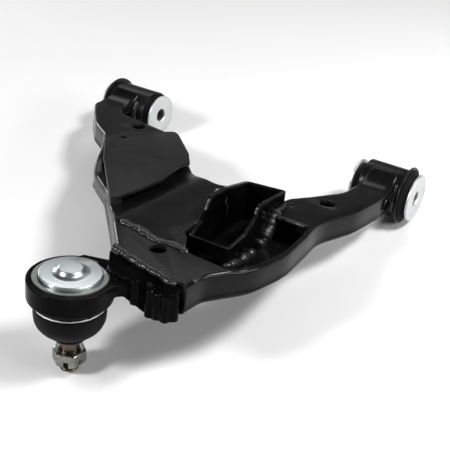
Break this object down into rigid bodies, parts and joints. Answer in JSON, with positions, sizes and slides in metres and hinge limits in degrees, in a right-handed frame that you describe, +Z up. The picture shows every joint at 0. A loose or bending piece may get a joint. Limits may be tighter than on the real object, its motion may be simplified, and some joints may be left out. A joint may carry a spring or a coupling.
{
  "type": "suspension control arm",
  "caption": "Boxed steel wishbone with rubber pivot bushes, a shock absorber bracket and a ball joint under its outer end.",
  "frame": {"origin": "centre of the overall box's base, on the surface that the arm stands on", "axes": "+X from the bush pivot axis towards the ball joint, +Y along the pivot axis from the rear bush to the front bush, +Z up"},
  "size_m": [0.4564, 0.453, 0.1152],
  "materials": {
    "arm_paint": "gloss black paint over pressed steel",
    "plate_paint": "satin black paint on flat plate",
    "eye_tube_paint": "gloss black paint on tube",
    "forging_paint": "gloss black paint over a forging",
    "bracket_paint": "gloss black paint on folded plate",
    "sleeve_paint": "gloss black paint on pressed sleeve",
    "bare_steel": "plain steel",
    "sleeve_steel": "turned steel",
    "stud_steel": "dark oiled machined steel",
    "zinc": "bright zinc plate",
    "cap_zinc": "bright zinc plate on pressed steel",
    "nut_zinc": "bright zinc plate",
    "bush_rubber": "moulded black rubber",
    "boot_rubber": "matte moulded black rubber",
    "seat_nylon": "moulded bearing nylon"
  },
  "bodies": {
    "arm": {"upper_shell": "arm_paint", "lower_shell": "arm_paint", "outer_top_plate": "plate_paint", "cover_plate": "plate_paint", "front_eye_tube": "eye_tube_paint", "rear_eye_tube": "eye_tube_paint", "ball_joint_forging": "forging_paint", "shock_bracket_rear_plate": "bracket_paint", "shock_bracket_front_plate": "bracket_paint", "shock_bracket_back_plate": "bracket_paint", "shock_bracket_lip_plate": "bracket_paint", "shock_weld_nut": "bare_steel", "front_outer_sleeve": "sleeve_paint", "rear_outer_sleeve": "sleeve_paint", "front_bush_rubber": "bush_rubber", "rear_bush_rubber": "bush_rubber", "upper_ball_seat": "seat_nylon", "lower_ball_seat": "seat_nylon", "preload_spring": "bare_steel", "ball_joint_cap": "cap_zinc", "retaining_ring": "cap_zinc", "boot": "boot_rubber", "boot_upper_ring": "zinc"},
    "front_pivot": {"front_inner_sleeve": "sleeve_steel", "front_inboard_washer": "zinc", "front_outboard_washer": "zinc"},
    "rear_pivot": {"rear_inner_sleeve": "sleeve_steel", "rear_inboard_washer": "zinc", "rear_outboard_washer": "zinc"},
    "stud_mouth": {"boot_mouth_ring": "bare_steel"},
    "stud": {"ball_stud": "stud_steel", "castle_nut": "nut_zinc"}
  },
  "joints": [
    {"name": "front_bush_twist", "type": "hinge", "parent": "arm", "child": "front_pivot", "pos_m": [-0.19492, 0.1895, 0.0333], "axis": [0, 1, 0], "range_deg": [-20, 20], "stiffness_Nm_per_rad": 20, "deforming": ["front_bush_rubber"]},
    {"name": "rear_bush_twist", "type": "hinge", "parent": "arm", "child": "rear_pivot", "pos_m": [-0.19492, -0.1795, 0.0333], "axis": [0, 1, 0], "range_deg": [-20, 20], "stiffness_Nm_per_rad": 20, "deforming": ["rear_bush_rubber"]},
    {"name": "stud_swing", "type": "hinge", "parent": "arm", "child": "stud_mouth", "pos_m": [0.18916, 0.0605, 0.08421], "axis": [0, 1, 0], "range_deg": [-22, 22], "deforming": ["boot"]},
    {"name": "stud_spin", "type": "hinge", "parent": "stud_mouth", "child": "stud", "pos_m": [0.18916, 0.0605, 0.08421], "axis": [-0.1786, 0, 0.9839], "continuous": true}
  ],
  "couplings": [
    {"joint": "rear_bush_twist", "follows": "front_bush_twist", "ratio": 1}
  ]
}
